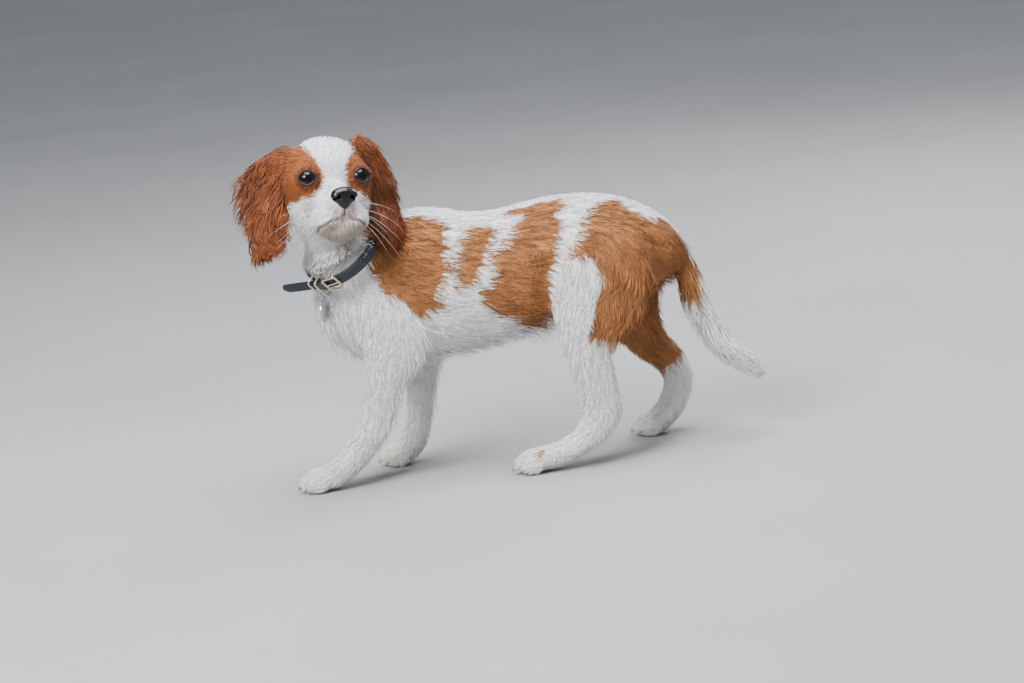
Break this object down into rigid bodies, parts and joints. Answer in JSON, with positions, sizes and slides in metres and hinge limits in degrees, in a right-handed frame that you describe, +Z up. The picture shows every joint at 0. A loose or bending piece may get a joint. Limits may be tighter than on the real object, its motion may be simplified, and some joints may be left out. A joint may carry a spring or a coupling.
{
  "type": "cavalier king charles spaniel puppy",
  "caption": "Standing spaniel puppy, chestnut and white, with its head turned and raised, long coated ears, a low tail and a leather collar with a ring and tag.",
  "frame": {"origin": "middle of the bounding box, on the floor that the four feet stand on", "axes": "+X from the head towards the tail, +Y towards the dog's right side, +Z up"},
  "size_m": [0.4596, 0.1724, 0.3121],
  "materials": {
    "head": "short white fur with chestnut round the eyes and over the cheeks",
    "nose": "moist black nose leather",
    "eye_left": "wet, very dark brown eye",
    "eye_right": "wet, very dark brown eye",
    "ear_left": "long, wavy, deep chestnut hair",
    "ear_right": "long, wavy, deep chestnut hair",
    "neck": "white fur",
    "torso": "white fur with chestnut patches",
    "tail": "white plume, chestnut towards the root",
    "foreleg_left": "white fur",
    "foreleg_right": "white fur",
    "thigh_left": "white fur in front, chestnut behind",
    "thigh_right": "chestnut fur",
    "hind_foot_left": "white fur",
    "hind_foot_right": "white fur",
    "collar_strap": "dark navy leather",
    "collar_end": "dark navy leather, stitched along its edge",
    "collar_keeper_front": "polished metal frame",
    "collar_keeper_rear": "polished metal frame",
    "collar_buckle": "polished metal buckle",
    "collar_ring": "split ring",
    "collar_tag": "bare metal disc"
  },
  "bodies": {
    "root": {"head": "head", "nose": "nose", "eye_left": "eye_left", "eye_right": "eye_right", "ear_left": "ear_left", "ear_right": "ear_right", "neck": "neck", "torso": "torso", "tail": "tail", "foreleg_left": "foreleg_left", "foreleg_right": "foreleg_right", "thigh_left": "thigh_left", "thigh_right": "thigh_right", "hind_foot_left": "hind_foot_left", "hind_foot_right": "hind_foot_right", "collar_strap": "collar_strap", "collar_end": "collar_end", "collar_keeper_front": "collar_keeper_front", "collar_keeper_rear": "collar_keeper_rear", "collar_buckle": "collar_buckle", "collar_ring": "collar_ring", "collar_tag": "collar_tag"}
  },
  "joints": []
}
